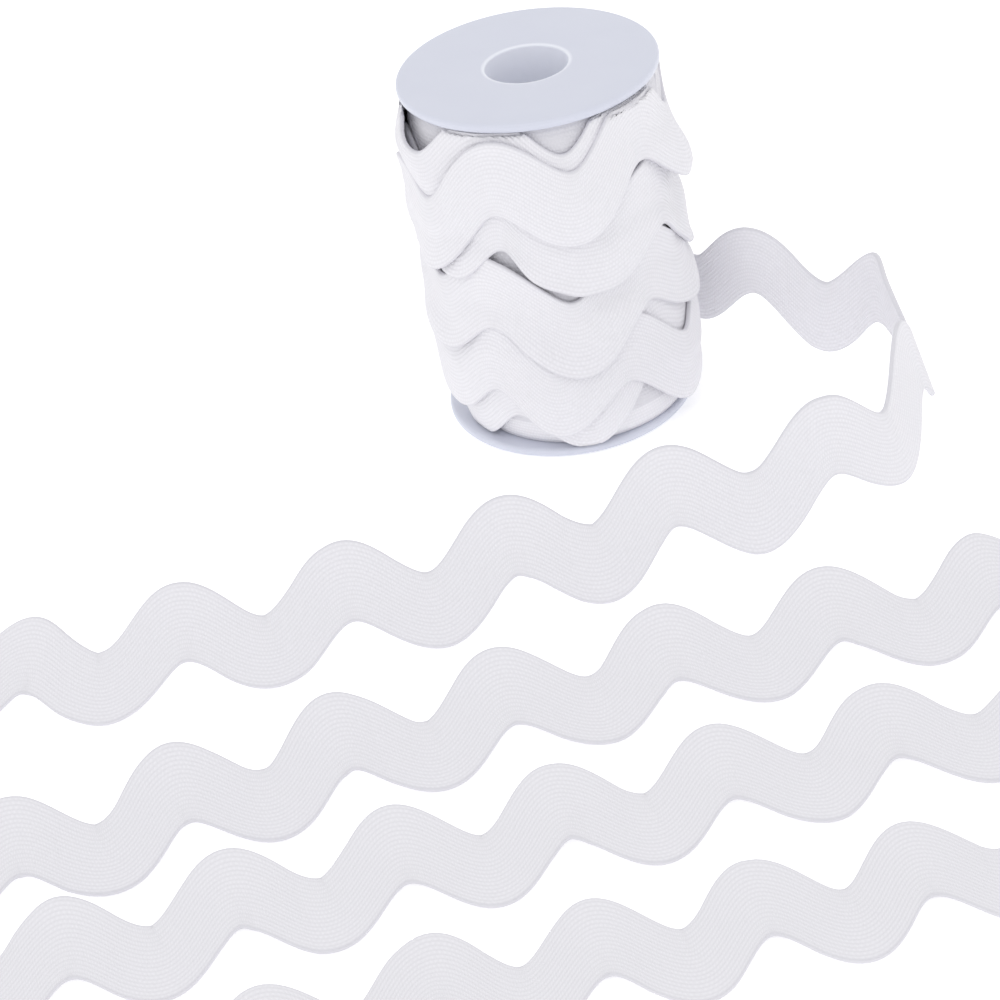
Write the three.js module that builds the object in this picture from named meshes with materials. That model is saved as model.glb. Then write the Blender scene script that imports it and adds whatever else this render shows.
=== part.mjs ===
// A roll of ric rac: a plastic spool, the wavy trim wound on it, and the loose end laid out beside it.
// The wound trim is one solid ring, and the loose end is one ribbon that bends, leans and turns back.

import * as THREE from 'three';

// Driving dimensions, in millimetres and degrees; +Z is up
const SPOOL = { height: 87.5, flangeRadius: 30, flangeThick: 2.2, rimRound: 0.8, bore: 9.5, barrel: 12 };
const TRIM = { width: 30, thick: 1.3 };
const CLEAR = 0.3;

// One wave of ric rac, with lengths as shares of the repeat: the middle line swings by swing, the band
// reaches halfBand to each side along the middle line's normal, and follow is how far its threads
// lean over with the wave; the whole is then stretched across to the trim's width
const WAVE = { swing: 0.116, halfBand: 0.182, follow: 0.8 };

// Segments: stations in one repeat of the loose end, and the faces of the spool and of the wound ring
const STATIONS = 14;
const DEPTH_SAMPLES = 12;
const SPOOL_SIDES = 56;
const RING = { sides: 96, levels: 29 };

// Radius of the hidden turns at a height: they tuck in at both flanges
const CORE = [
  { height: 2.5, radius: 26 },
  { height: 5, radius: 26.8 },
  { height: 9, radius: 27.8 },
  { height: 12, radius: 28.4 },
  { height: 24, radius: 29.2 },
  { height: 60, radius: 29 },
  { height: 78, radius: 28.8 },
  { height: 82, radius: 28.4 },
  { height: 85, radius: 27.4 },
];

// The hidden turns lie a little to one side at the foot: how far out, towards which angle, and the
// heights between which this fades out
const LEAN = { out: 3.2, towards: 322, full: 4, ends: 36 };

// The wound trim is worked out on a grid round its core and up it, one short run at a time, and each
// turn that is pulled over the core adds one layer
const WINDING = {
  layer: 1.05,
  cellsRound: 256,
  cellsUp: 104,
  runDegrees: 120,
  bridgeRound: 5,
  bridgeUp: 2,
};

// Angle, seen from above, at which the loose end leaves the winding
const LEAVES_AT = 60.1;

// The middle of the winding, from just before that place inwards: angle, height, and the count of
// waves; a whole count is a crest, and the angle grows with each turn
const TURNS = [
  // the outermost turn climbs from the place where the loose end leaves
  { angle: 30, height: 12, waves: -0.28 },
  { angle: 64, height: 21, waves: 0.24 },
  { angle: 120, height: 36, waves: 1.08 },
  { angle: 182, height: 56, waves: 2 },
  { angle: 215, height: 64, waves: 2.5 },
  { angle: 248, height: 68.8, waves: 3 },
  { angle: 283, height: 71.2, waves: 3.5 },
  { angle: 315, height: 73.9, waves: 4 },
  { angle: 348, height: 73.3, waves: 4.5 },
  // the turn under it lies against the upper flange
  { angle: 460, height: 73, waves: 6.5 },
  { angle: 572, height: 75, waves: 8.5 },
  { angle: 606, height: 75.2, waves: 9 },
  { angle: 640, height: 75.2, waves: 9.5 },
  { angle: 673, height: 75.5, waves: 10 },
  { angle: 706, height: 75.2, waves: 10.5 },
  // the next three go down the roll
  { angle: 820, height: 69, waves: 12.5 },
  { angle: 941, height: 62.5, waves: 14.5 },
  { angle: 969, height: 59.2, waves: 15 },
  { angle: 980, height: 55.4, waves: 15.15 },
  { angle: 995, height: 56.4, waves: 15.32 },
  { angle: 1009, height: 58.2, waves: 15.5 },
  { angle: 1046, height: 54.4, waves: 16 },
  { angle: 1080, height: 51.9, waves: 16.5 },
  { angle: 1288, height: 42, waves: 19.5 },
  { angle: 1320, height: 39.2, waves: 20 },
  { angle: 1355.5, height: 38.3, waves: 20.5 },
  { angle: 1389, height: 39, waves: 21 },
  { angle: 1422, height: 42.5, waves: 21.5 },
  { angle: 1647, height: 25.2, waves: 24.5 },
  { angle: 1677, height: 22.2, waves: 25 },
  { angle: 1704, height: 22.4, waves: 25.5 },
  { angle: 1735, height: 21.5, waves: 26 },
  { angle: 1769, height: 19.3, waves: 26.5 },
  // the inmost one that is modelled fills the foot
  { angle: 1880, height: 16, waves: 28.3 },
  { angle: 2014, height: 16.5, waves: 30.5 },
  { angle: 2045, height: 15, waves: 31 },
  { angle: 2090, height: 19, waves: 31.7 },
  { angle: 2110, height: 23.5, waves: 32 },
  { angle: 2140, height: 31, waves: 32.5 },
  { angle: 2200, height: 36, waves: 33.4 },
];

// Lobes that stand out from the winding: where, how far round and up they reach, and how far out
const LOBES = [
  { angle: 348, height: 62, round: 16, up: 8, out: 2.6 },
  { angle: 203, height: 71, round: 16, up: 6, out: -0.75 },
  { angle: 566, height: 80, round: 14, up: 8, out: 3 },
  { angle: 362, height: 80, round: 26, up: 9, out: -1.1 },
  { angle: 712, height: 80, round: 26, up: 9, out: -1.1 },
  { angle: 205, height: 50, round: 16, up: 8, out: 0.6 },
  { angle: 1335, height: 50, round: 26, up: 6, out: 0.8 },
  { angle: 1640, height: 14, round: 16, up: 8, out: 0.8 },
  { angle: 1772, height: 9, round: 22, up: 10, out: 1.4 },
  // pressed in where the loose end leaves
  { angle: 1850, height: 24, round: 26, up: 20, out: -0.5 },
];

// The loose end's route over the surface, from the roll to the cut end: plan position, height above
// the surface, slope of the band at its lower and upper edge (90 stands upright, 0 lies flat, and a
// minus sign lifts the other edge), and the length of one wave there
const ROUTE = [
  { x: 16.9, y: 29.4, lift: 5.4, low: 90, high: 90, repeat: 32 },
  { x: 26.5, y: 22.4, lift: 5, low: 90, high: 90, repeat: 32 },
  { x: 35.5, y: 15.5, lift: 4.2, low: 90, high: 90, repeat: 32 },
  { x: 46, y: 8, lift: 3.4, low: 89, high: 89, repeat: 33.5 },
  { x: 62, y: 0, lift: 1.6, low: 98, high: 98, repeat: 35 },
  { x: 72, y: -6.5, lift: 0.8, low: 100, high: 98, repeat: 30 },
  // the bend that brings it back towards the front
  { x: 77.8, y: -15, lift: 0, low: 80, high: 80, repeat: 29 },
  { x: 80, y: -26, lift: 0, low: 76, high: 76, repeat: 32 },
  { x: 79, y: -38, lift: 0, low: 74, high: 74, repeat: 34.5 },
  { x: 71.5, y: -51.5, lift: 0, low: 72, high: 74, repeat: 36.5 },
  // first row, leaning back more and more
  { x: 58.5, y: -65, lift: 0, low: 64, high: 76, repeat: 36.5 },
  { x: 33, y: -70.6, lift: 0, low: 46, high: 69, repeat: 37 },
  { x: 1.4, y: -76.8, lift: 0, low: 29, high: 63, repeat: 36.5 },
  { x: -34.4, y: -83, lift: 0, low: 19, high: 57, repeat: 37 },
  { x: -76.3, y: -89.2, lift: 0, low: 13, high: 50, repeat: 36.5 },
  { x: -114, y: -92.6, lift: 0, low: 8, high: 44, repeat: 35.5 },
  // first turn back, flat on the surface
  { x: -137, y: -92, lift: 0, low: 2, high: 28, repeat: 36 },
  { x: -160, y: -98, lift: 0, low: 0, high: 10, repeat: 37 },
  { x: -172, y: -118, lift: 0, low: -4, high: 2, repeat: 37 },
  { x: -163, y: -141, lift: 0, low: -16, high: 0, repeat: 37 },
  { x: -141, y: -151, lift: 0, low: -26, high: 0, repeat: 36.5 },
  // second row
  { x: -118, y: -148, lift: 0, low: -34, high: 0, repeat: 35 },
  { x: -75.5, y: -136.6, lift: 0, low: -40, high: 0, repeat: 34 },
  { x: -24, y: -124.2, lift: 0, low: -38, high: 0, repeat: 35 },
  { x: 29, y: -114.3, lift: 0, low: -37, high: 0, repeat: 35 },
  { x: 80, y: -107.4, lift: 0, low: -34, high: 0, repeat: 35 },
  // second turn back
  { x: 101, y: -102, lift: 0, low: -20, high: 0, repeat: 34 },
  { x: 122, y: -101, lift: 0, low: -10, high: 0, repeat: 32.5 },
  { x: 140, y: -113, lift: 0, low: -3, high: 2, repeat: 31.5 },
  { x: 141, y: -134, lift: 0, low: 0, high: 6, repeat: 31 },
  { x: 124, y: -149, lift: 0, low: 0, high: 14, repeat: 31.5 },
  // third row
  { x: 99, y: -148.5, lift: 0, low: 0, high: 18, repeat: 33 },
  { x: 71.7, y: -146.5, lift: 0, low: 0, high: 20, repeat: 34 },
  { x: 23.4, y: -153.4, lift: 0, low: 0, high: 22, repeat: 33.2 },
  { x: -26.1, y: -161.6, lift: 0, low: 0, high: 22, repeat: 32.2 },
  { x: -74.5, y: -170.9, lift: 0, low: 0, high: 24, repeat: 33 },
  { x: -118, y: -180.2, lift: 0, low: 0, high: 24, repeat: 32.5 },
  // third turn back
  { x: -141, y: -182, lift: 0, low: 0, high: 14, repeat: 30.5 },
  { x: -162, y: -192, lift: 0, low: 0, high: 5, repeat: 29.2 },
  { x: -168, y: -213, lift: 0, low: -3, high: 1, repeat: 28.2 },
  { x: -154, y: -231, lift: 0, low: -8, high: 0, repeat: 28.6 },
  { x: -131, y: -232, lift: 0, low: -12, high: 0, repeat: 28.8 },
  { x: -107, y: -220, lift: 0, low: -14, high: 0, repeat: 29.4 },
  // fourth row, to the cut end
  { x: -82, y: -210, lift: 0, low: -11, high: 0, repeat: 30.6 },
  { x: -46, y: -200.2, lift: 0, low: -10, high: 0, repeat: 30.6 },
  { x: -12, y: -195.9, lift: 0, low: -10, high: 0, repeat: 30.6 },
  { x: 18.5, y: -191.4, lift: 0, low: -10, high: 0, repeat: 30.6 },
  { x: 64, y: -184.4, lift: 0, low: -10, high: 0, repeat: 30.6 },
  { x: 92, y: -178, lift: 0, low: -8, high: 0, repeat: 30.6 },
];
const FIRST_WAVES = -0.17;
const ROUTE_STEP = 0.5;

const TURN = 2 * Math.PI;
const radians = (degrees) => (degrees * Math.PI) / 180;

// Steepness of the middle line where it crosses from crest to trough, before the stretch across
const STEEP = TURN * WAVE.swing;
const STRETCH = TRIM.width / (2 * (WAVE.swing + WAVE.halfBand));

// Slope of the middle line at a phase, as an angle
const waveSlope = (phase) => Math.atan(-STEEP * Math.sin(phase));

// Place of a point of the band, with side from -1 to 1 across it: how far it leans along the trim, as
// a share of the repeat, and how far it lies across, in millimetres
function wavePoint(phase, side) {
  const slope = waveSlope(phase);
  return {
    along: -WAVE.follow * side * WAVE.halfBand * Math.sin(slope),
    across: STRETCH * (WAVE.swing * Math.cos(phase) + side * WAVE.halfBand * Math.cos(slope)),
  };
}

// Distance across from the middle to one edge of the band, in millimetres, straight out from a phase:
// the lean along the trim is undone by repeating the correction
const LEAN_PASSES = 12;
function edgeAcross(phase, side) {
  let source = phase;
  for (let pass = 0; pass < LEAN_PASSES; pass++) source = phase - TURN * wavePoint(source, side).along;
  return wavePoint(source, side).across;
}

// Smooth curve through the rows of a table, for every column at once, over the given knots
function smoothTable(rows, knots, columns) {
  const last = rows.length - 1;
  return (t) => {
    let i = 0;
    while (i < last - 1 && t > knots[i + 1]) i++;
    const span = knots[i + 1] - knots[i];
    const u = (t - knots[i]) / span;
    const result = {};
    for (const name of columns) {
      const rate = (k) => {
        const a = Math.max(k - 1, 0);
        const b = Math.min(k + 1, last);
        return (rows[b][name] - rows[a][name]) / (knots[b] - knots[a]);
      };
      const eased = 3 * u ** 2 - 2 * u ** 3;
      const placed = (1 - eased) * rows[i][name] + eased * rows[i + 1][name];
      const leaving = (u ** 3 - 2 * u ** 2 + u) * span * rate(i);
      const arriving = (u ** 3 - u ** 2) * span * rate(i + 1);
      result[name] = placed + leaving + arriving;
    }
    return result;
  };
}

// Closed mesh of a section that is carried round or along: rings of points, each with the same count
function skin(rings, closedAlong) {
  const around = rings[0].length;
  const positions = rings.flat().flatMap((p) => [p.x, p.y, p.z]);
  const index = [];
  const steps = closedAlong ? rings.length : rings.length - 1;
  for (let i = 0; i < steps; i++) {
    for (let j = 0; j < around; j++) {
      const a = i * around + j;
      const b = i * around + ((j + 1) % around);
      const c = ((i + 1) % rings.length) * around + j;
      const d = ((i + 1) % rings.length) * around + ((j + 1) % around);
      index.push(a, c, b, b, c, d);
    }
  }
  if (!closedAlong) {
    const end = (rings.length - 1) * around;
    for (let j = 1; j < around - 1; j++) {
      index.push(0, j, j + 1);
      index.push(end, end + j + 1, end + j);
    }
  }
  const geometry = new THREE.BufferGeometry();
  geometry.setAttribute('position', new THREE.Float32BufferAttribute(positions, 3));
  geometry.setIndex(index);
  geometry.computeVertexNormals();
  return geometry;
}

// Spool: a barrel with a through bore and two round flanges with softened rims, turned about its axis
function spoolGeometry() {
  const { height, flangeRadius, flangeThick, rimRound, bore, barrel } = SPOOL;
  const half = flangeThick / 2;
  const corner = (1 - Math.SQRT1_2) * rimRound;
  const rim = (z) => [
    [flangeRadius - rimRound, z - half],
    [flangeRadius - corner, z - half + corner],
    [flangeRadius, z - half + rimRound],
    [flangeRadius, z + half - rimRound],
    [flangeRadius - corner, z + half - corner],
    [flangeRadius - rimRound, z + half],
  ];
  const outline = [
    [bore, 0],
    ...rim(half),
    [barrel, flangeThick],
    [barrel, height - flangeThick],
    ...rim(height - half),
    [bore, height],
    [bore, 0],
  ].map(([r, z]) => new THREE.Vector2(r, z));
  return new THREE.LatheGeometry(outline, SPOOL_SIDES).rotateX(Math.PI / 2);
}

// Wound trim: each short run of the trim is laid over what is already there, pulled taut so that it
// bridges small hollows, from the inmost turn to the outmost; the result is a radius for each cell
const WOUND_FOOT = SPOOL.flangeThick + CLEAR;
const WOUND_TOP = SPOOL.height - SPOOL.flangeThick - CLEAR;

// Index of a cell of the grid: i goes round and wraps, j goes up and is held at the ends
function cell(i, j) {
  const { cellsRound, cellsUp } = WINDING;
  return ((i + cellsRound) % cellsRound) * cellsUp + THREE.MathUtils.clamp(j, 0, cellsUp - 1);
}

function windingRadii() {
  const { layer, cellsRound, cellsUp, runDegrees, bridgeRound, bridgeUp } = WINDING;
  const knots = TURNS.map((row) => row.angle);
  const turnAt = smoothTable(TURNS, knots, ['height', 'waves']);
  const coreAt = smoothTable(CORE, CORE.map((row) => row.height), ['radius']);
  const cellHeight = (j) => WOUND_FOOT + ((WOUND_TOP - WOUND_FOOT) * j) / (cellsUp - 1);

  // Largest or mean value over a window of cells, one direction after the other
  const sweep = (field, reachRound, reachUp, mean) => {
    let result = field;
    for (const [di, dj, reach] of [[1, 0, reachRound], [0, 1, reachUp]]) {
      const from = result;
      result = new Float64Array(from.length);
      for (let i = 0; i < cellsRound; i++) {
        for (let j = 0; j < cellsUp; j++) {
          let sum = 0;
          let most = 0;
          for (let k = -reach; k <= reach; k++) {
            const value = from[cell(i + di * k, j + dj * k)];
            sum += value;
            most = Math.max(most, value);
          }
          result[cell(i, j)] = mean ? sum / (2 * reach + 1) : most;
        }
      }
    }
    return result;
  };

  const coreRadius = (degrees, z) => {
    const share = 1 - THREE.MathUtils.smoothstep(z, LEAN.full, LEAN.ends);
    return coreAt(z).radius + LEAN.out * share * Math.cos(radians(degrees - LEAN.towards));
  };
  let laid = new Float64Array(cellsRound * cellsUp);
  for (let i = 0; i < cellsRound; i++) {
    for (let j = 0; j < cellsUp; j++) laid[cell(i, j)] = coreRadius((i * 360) / cellsRound, cellHeight(j));
  }
  let beneath = laid;
  for (let end = knots[knots.length - 1]; end > LEAVES_AT; end -= runDegrees) {
    const start = Math.max(end - runDegrees, LEAVES_AT);
    const taut = sweep(sweep(beneath, bridgeRound, bridgeUp, false), bridgeRound - 1, bridgeUp, true);
    const next = laid.slice();
    for (let i = 0; i < cellsRound; i++) {
      const turnShare = (i * 360) / cellsRound;
      const angle = turnShare + 360 * Math.ceil((start - turnShare) / 360);
      if (angle >= end) continue;
      const { height, waves } = turnAt(angle);
      const upper = height + edgeAcross(TURN * waves, 1);
      const lower = height + edgeAcross(TURN * waves, -1);
      for (let j = 0; j < cellsUp; j++) {
        const z = cellHeight(j);
        const inside = z <= upper && z >= lower;
        if (inside) next[cell(i, j)] = Math.max(next[cell(i, j)], taut[cell(i, j)] + layer);
      }
    }
    beneath = laid;
    laid = next;
  }
  return laid;
}

// How far the lobes stand out at an angle, in degrees, and a height
function lobesOut(degrees, z) {
  let out = 0;
  for (const lobe of LOBES) {
    const turn = THREE.MathUtils.euclideanModulo(degrees - lobe.angle + 180, 360) - 180;
    out += lobe.out * Math.exp(-((turn / lobe.round) ** 2) - ((z - lobe.height) / lobe.up) ** 2);
  }
  return out;
}

function windingGeometry() {
  const radii = windingRadii();
  const { cellsRound, cellsUp } = WINDING;
  const inner = SPOOL.barrel + CLEAR;
  const rings = [];
  for (let i = 0; i < RING.sides; i++) {
    const degrees = (360 * i) / RING.sides;
    const column = Math.round((i * cellsRound) / RING.sides);
    const ring = [];
    const place = (r, z) => {
      ring.push(new THREE.Vector3(r * Math.cos(radians(degrees)), r * Math.sin(radians(degrees)), z));
    };
    place(inner, WOUND_FOOT);
    for (let j = 0; j < RING.levels; j++) {
      const share = j / (RING.levels - 1);
      const z = WOUND_FOOT + (WOUND_TOP - WOUND_FOOT) * share;
      place(radii[cell(column, Math.round(share * (cellsUp - 1)))] + lobesOut(degrees, z), z);
    }
    place(inner, WOUND_TOP);
    rings.push(ring);
  }
  return skin(rings, true);
}

// Loose end: the route is measured out in small steps, which give the heading and the count of waves
function measuredRoute() {
  const knots = [0];
  for (let i = 1; i < ROUTE.length; i++) {
    knots.push(knots[i - 1] + Math.hypot(ROUTE[i].x - ROUTE[i - 1].x, ROUTE[i].y - ROUTE[i - 1].y));
  }
  const at = smoothTable(ROUTE, knots, ['x', 'y', 'lift', 'low', 'high', 'repeat']);
  const steps = Math.round(knots[knots.length - 1] / ROUTE_STEP);
  const track = [];
  for (let i = 0; i <= steps; i++) track.push(at((knots[knots.length - 1] * i) / steps));
  let length = 0;
  let waves = FIRST_WAVES;
  track.forEach((point, i) => {
    const before = track[Math.max(i - 1, 0)];
    const after = track[Math.min(i + 1, steps)];
    const step = i === 0 ? 0 : Math.hypot(point.x - before.x, point.y - before.y);
    length += step;
    waves += step / point.repeat;
    point.s = length;
    point.waves = waves;
    point.ahead = new THREE.Vector2(after.x - before.x, after.y - before.y).normalize();
  });
  return track;
}

// The track at a length along it, carried straight on past both ends
function trackAt(track, s) {
  let low = 0;
  let high = track.length - 1;
  while (high - low > 1) {
    const middle = (low + high) >> 1;
    if (track[middle].s <= s) low = middle;
    else high = middle;
  }
  const a = track[low];
  const b = track[high];
  const u = THREE.MathUtils.clamp((s - a.s) / (b.s - a.s), 0, 1);
  const mix = (name) => a[name] + (b[name] - a[name]) * u;
  const ahead = a.ahead.clone().lerp(b.ahead, u).normalize();
  const past = s - (a.s + (b.s - a.s) * u);
  return {
    x: mix('x') + past * ahead.x,
    y: mix('y') + past * ahead.y,
    lift: mix('lift'),
    low: radians(mix('low')),
    high: radians(mix('high')),
    ahead,
  };
}

// The band's section bends evenly from its lower slope to its upper slope: run is sideways and rise
// upwards, both from the middle line; under the least bend it is a straight line
const LEAST_BEND = 1e-5;
function sectionPoint(across, low, high) {
  const bend = (high - low) / TRIM.width;
  const middle = (low + high) / 2;
  if (Math.abs(bend) < LEAST_BEND) {
    return { run: across * Math.cos(middle), rise: across * Math.sin(middle) };
  }
  const here = middle + bend * across;
  return {
    run: (Math.sin(here) - Math.sin(middle)) / bend,
    rise: (Math.cos(middle) - Math.cos(here)) / bend,
  };
}

// Depth of the section's lowest point under its middle line
function sectionDepth(low, high) {
  let depth = 0;
  for (let i = 0; i <= DEPTH_SAMPLES; i++) {
    const across = TRIM.width * (i / DEPTH_SAMPLES - 0.5);
    depth = Math.min(depth, sectionPoint(across, low, high).rise);
  }
  return depth;
}

// Point of the loose end: side runs across the band, and face is -1 or 1 for its two faces
function loosePoint(track, station, side, face) {
  const { along, across } = wavePoint(TURN * station.waves, side);
  const spot = trackAt(track, station.s + along * station.repeat);
  const { run, rise } = sectionPoint(across, spot.low, spot.high);
  const slope = (spot.low + spot.high) / 2 + ((spot.high - spot.low) / TRIM.width) * across;
  const half = (face * TRIM.thick) / 2;
  const sideways = run - half * Math.sin(slope);
  const ground = sectionDepth(spot.low, spot.high);
  const resting = (TRIM.thick / 2) * Math.max(Math.abs(Math.cos(spot.low)), Math.abs(Math.cos(spot.high)));
  const z = rise - ground + spot.lift + resting + half * Math.cos(slope);
  const x = spot.x + sideways * spot.ahead.y;
  const y = spot.y - sideways * spot.ahead.x;
  return new THREE.Vector3(x, y, Math.max(z, 0));
}

function looseEndGeometry() {
  const track = measuredRoute();
  const first = track[0].waves;
  const count = Math.floor((track[track.length - 1].waves - first) * STATIONS);
  const rings = [];
  let step = 0;
  for (let i = 0; i <= count; i++) {
    const waves = first + i / STATIONS;
    while (step < track.length - 2 && track[step + 1].waves < waves) step++;
    const a = track[step];
    const b = track[step + 1];
    const u = (waves - a.waves) / (b.waves - a.waves);
    const station = { s: a.s + (b.s - a.s) * u, waves, repeat: a.repeat + (b.repeat - a.repeat) * u };
    const ring = [];
    for (const side of [1, 0, -1]) ring.push(loosePoint(track, station, side, 1));
    for (const side of [-1, 0, 1]) ring.push(loosePoint(track, station, side, -1));
    rings.push(ring);
  }
  return skin(rings, false);
}

function piece(name, geometry, finish) {
  const mesh = new THREE.Mesh(geometry, new THREE.MeshStandardMaterial(finish));
  mesh.name = name;
  return mesh;
}

const TRIM_FINISH = { color: 0xf3f4f6, roughness: 0.85, metalness: 0 };

const roll = new THREE.Group();
roll.add(piece('spool', spoolGeometry(), { color: 0xe3e6f1, roughness: 0.35, metalness: 0 }));
roll.add(piece('wound_trim', windingGeometry(), TRIM_FINISH));
roll.add(piece('loose_end', looseEndGeometry(), TRIM_FINISH));

// The origin is the middle of the whole part's footprint, on the surface that it stands on
const box = new THREE.Box3().setFromObject(roll);
roll.position.set(-(box.min.x + box.max.x) / 2, -(box.min.y + box.max.y) / 2, 0);

export default roll;
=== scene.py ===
# %% [markdown]
# # A roll of ric rac
# Ric rac is a flat plaited trim whose two sides are pulled tight in turn, so that it lies in even waves.
# This one is wound on a plastic spool, and its loose end stands beside the spool, bends round, leans over
# and lies back and forth in rows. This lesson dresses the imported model: it builds the trim as one long
# ribbon that is worked out with numpy, lathes the spool, and gives both their finish.

import bpy
import numpy as np
from mathutils import Matrix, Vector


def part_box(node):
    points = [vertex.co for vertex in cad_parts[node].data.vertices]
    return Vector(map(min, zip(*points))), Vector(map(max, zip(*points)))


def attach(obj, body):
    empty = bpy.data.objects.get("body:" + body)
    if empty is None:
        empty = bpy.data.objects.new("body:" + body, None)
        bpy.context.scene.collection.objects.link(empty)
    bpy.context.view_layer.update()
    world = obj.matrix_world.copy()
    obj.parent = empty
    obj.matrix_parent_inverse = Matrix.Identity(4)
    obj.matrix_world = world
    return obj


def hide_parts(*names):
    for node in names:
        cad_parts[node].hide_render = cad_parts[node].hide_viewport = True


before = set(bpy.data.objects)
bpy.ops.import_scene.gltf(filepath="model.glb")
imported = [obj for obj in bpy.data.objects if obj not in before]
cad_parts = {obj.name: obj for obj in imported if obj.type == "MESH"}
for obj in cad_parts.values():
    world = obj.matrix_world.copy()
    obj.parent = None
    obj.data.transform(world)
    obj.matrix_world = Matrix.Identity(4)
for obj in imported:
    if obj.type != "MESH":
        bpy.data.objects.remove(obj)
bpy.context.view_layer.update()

MM = 0.001
spool_low, spool_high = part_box("spool")
FOOT = np.array([(spool_low.x + spool_high.x) / 2, (spool_low.y + spool_high.y) / 2, 0.0])
print("spool stands at", FOOT.round(4), "and is", round(spool_high.z, 4), "m high")

# %% [markdown]
# ## The camera
# The two flange rims of the spool are circles of a known size, so their outlines fix where the camera was:
# about half a metre in front of the spool and a third of a metre up, with a long lens. Places here are in
# millimetres from the foot of the spool, as in the part's source, and the foot's own place is added.

# %% Camera
CAMERA_PLACE = np.array([0.0, -518.1, 330.0])
CAMERA_AHEAD = np.array([-0.0349, 0.8205, -0.5705])
CAMERA_RIGHT = np.array([0.9895, -0.0517, -0.1349])
FOCAL_PIXELS = 2498.6
FRAME_PIXELS = 1000
SENSOR_MM = 36.0

camera_data = bpy.data.cameras.new("camera")
camera_data.sensor_width = SENSOR_MM
camera_data.lens = FOCAL_PIXELS * SENSOR_MM / FRAME_PIXELS
camera_data.clip_start = 0.01
camera = bpy.data.objects.new("camera", camera_data)
back = -CAMERA_AHEAD / np.linalg.norm(CAMERA_AHEAD)
up = np.cross(back, CAMERA_RIGHT)
up /= np.linalg.norm(up)
right = np.cross(up, back)
turned = np.eye(4)
turned[:3, :3] = np.stack([right, up, back], axis=1)
turned[:3, 3] = FOOT + CAMERA_PLACE * MM
camera.matrix_world = Matrix(turned.tolist())
bpy.context.scene.collection.objects.link(camera)
bpy.context.scene.camera = camera
print("lens", round(camera_data.lens, 2), "mm")

# %% [markdown]
# ## Tools of the workshop
# Every shape below is a grid of rings. A ring is the outline of one section, and the mesh joins each point to
# the next in its ring and to the same point of the next ring. The faces are worked out as one array.

# %% Grid to mesh
def skin(name, rings, uv=None, closed_along=False):
    """Mesh over rings of shape (count, around, 3) in metres. Face (i, j) joins points (i, j), (i, j+1),
    (i+1, j+1) and (i+1, j), with j wrapping round; open ends are closed by one face each."""
    count, around = rings.shape[:2]
    steps = count if closed_along else count - 1
    i, j = np.meshgrid(np.arange(steps), np.arange(around), indexing="ij")
    after, beside = (i + 1) % count, (j + 1) % around
    here, ahead = i * around, after * around
    corners = np.stack([here + j, ahead + j, ahead + beside, here + beside], axis=-1)
    faces = corners.reshape(-1, 4).tolist()
    if not closed_along:
        faces.append(list(range(around)))
        faces.append(list(range(count * around - 1, (count - 1) * around - 1, -1)))
    mesh = bpy.data.meshes.new(name)
    mesh.from_pydata(rings.reshape(-1, 3).tolist(), [], faces)
    mesh.polygons.foreach_set("use_smooth", np.ones(len(faces), bool))
    if uv is not None:
        used = np.zeros(len(mesh.loops), np.int32)
        mesh.loops.foreach_get("vertex_index", used)
        layer = mesh.uv_layers.new(name="trim")
        layer.data.foreach_set("uv", uv.reshape(-1, 2)[used].astype(np.float32).ravel())
    mesh.update()
    piece = bpy.data.objects.new(name, mesh)
    bpy.context.scene.collection.objects.link(piece)
    print(name, "has", len(mesh.vertices), "points and", len(mesh.polygons), "faces")
    return piece


def smooth(rows, knots, at):
    """Curve through a table's rows: a cubic Hermite curve in each column, whose rate at a knot is the slope
    between the knots on either side."""
    rates = np.empty_like(rows)
    rates[1:-1] = (rows[2:] - rows[:-2]) / (knots[2:] - knots[:-2])[:, None]
    rates[0] = (rows[1] - rows[0]) / (knots[1] - knots[0])
    rates[-1] = (rows[-1] - rows[-2]) / (knots[-1] - knots[-2])
    i = np.clip(np.searchsorted(knots, at, side="right") - 1, 0, len(knots) - 2)
    span = (knots[i + 1] - knots[i])[..., None]
    u = (np.asarray(at) - knots[i])[..., None] / span
    here = (2 * u**3 - 3 * u**2 + 1) * rows[i] + (u**3 - 2 * u**2 + u) * span * rates[i]
    there = (3 * u**2 - 2 * u**3) * rows[i + 1] + (u**3 - u**2) * span * rates[i + 1]
    return here + there


def ease(t):
    """Smooth step: 3t^2 - 2t^3, held at 0 and 1 outside."""
    t = np.clip(t, 0, 1)
    return t * t * (3 - 2 * t)


# %% [markdown]
# ## One wave
# On the real trim the plait runs along the wave, and each of its threads stays the same way across from edge
# to edge. So the middle line is a cosine, and the two edges lie beside it along its normal. The wave could be
# cut from a plain strip by a boolean, but then the stitches would not follow it. Here each point has a place
# along and a place across, and the stitches come for free.

# %% The wave's sizes and formula
WIDTH = 30.0
THICK = 1.2
SWING = 0.116
HALF_BAND = 0.182
FOLLOW = 0.8
STEEP = 2 * np.pi * SWING
STRETCH = WIDTH / (2 * (SWING + HALF_BAND))
LEAN_PASSES = 12


def wave(waves, side):
    """How a point of the band lies: waves counts the waves along the trim, a whole count being a crest, and
    side runs from -1 to 1 across. With slope a = atan(-STEEP sin 2 pi waves), it leans -FOLLOW side HALF_BAND
    sin a repeats along the trim, and lies STRETCH (SWING cos 2 pi waves + side HALF_BAND cos a) mm across."""
    phase = 2 * np.pi * waves
    slope = np.arctan(-STEEP * np.sin(phase))
    along = -FOLLOW * side * HALF_BAND * np.sin(slope)
    across = STRETCH * (SWING * np.cos(phase) + side * HALF_BAND * np.cos(slope))
    return along, across


def edge_across(waves, side):
    """Distance across to an edge, straight out from a count of waves: the lean along the trim is undone by
    repeating the correction."""
    source = waves
    for _ in range(LEAN_PASSES):
        source = waves - wave(source, side)[0]
    return wave(source, side)[1]


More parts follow.
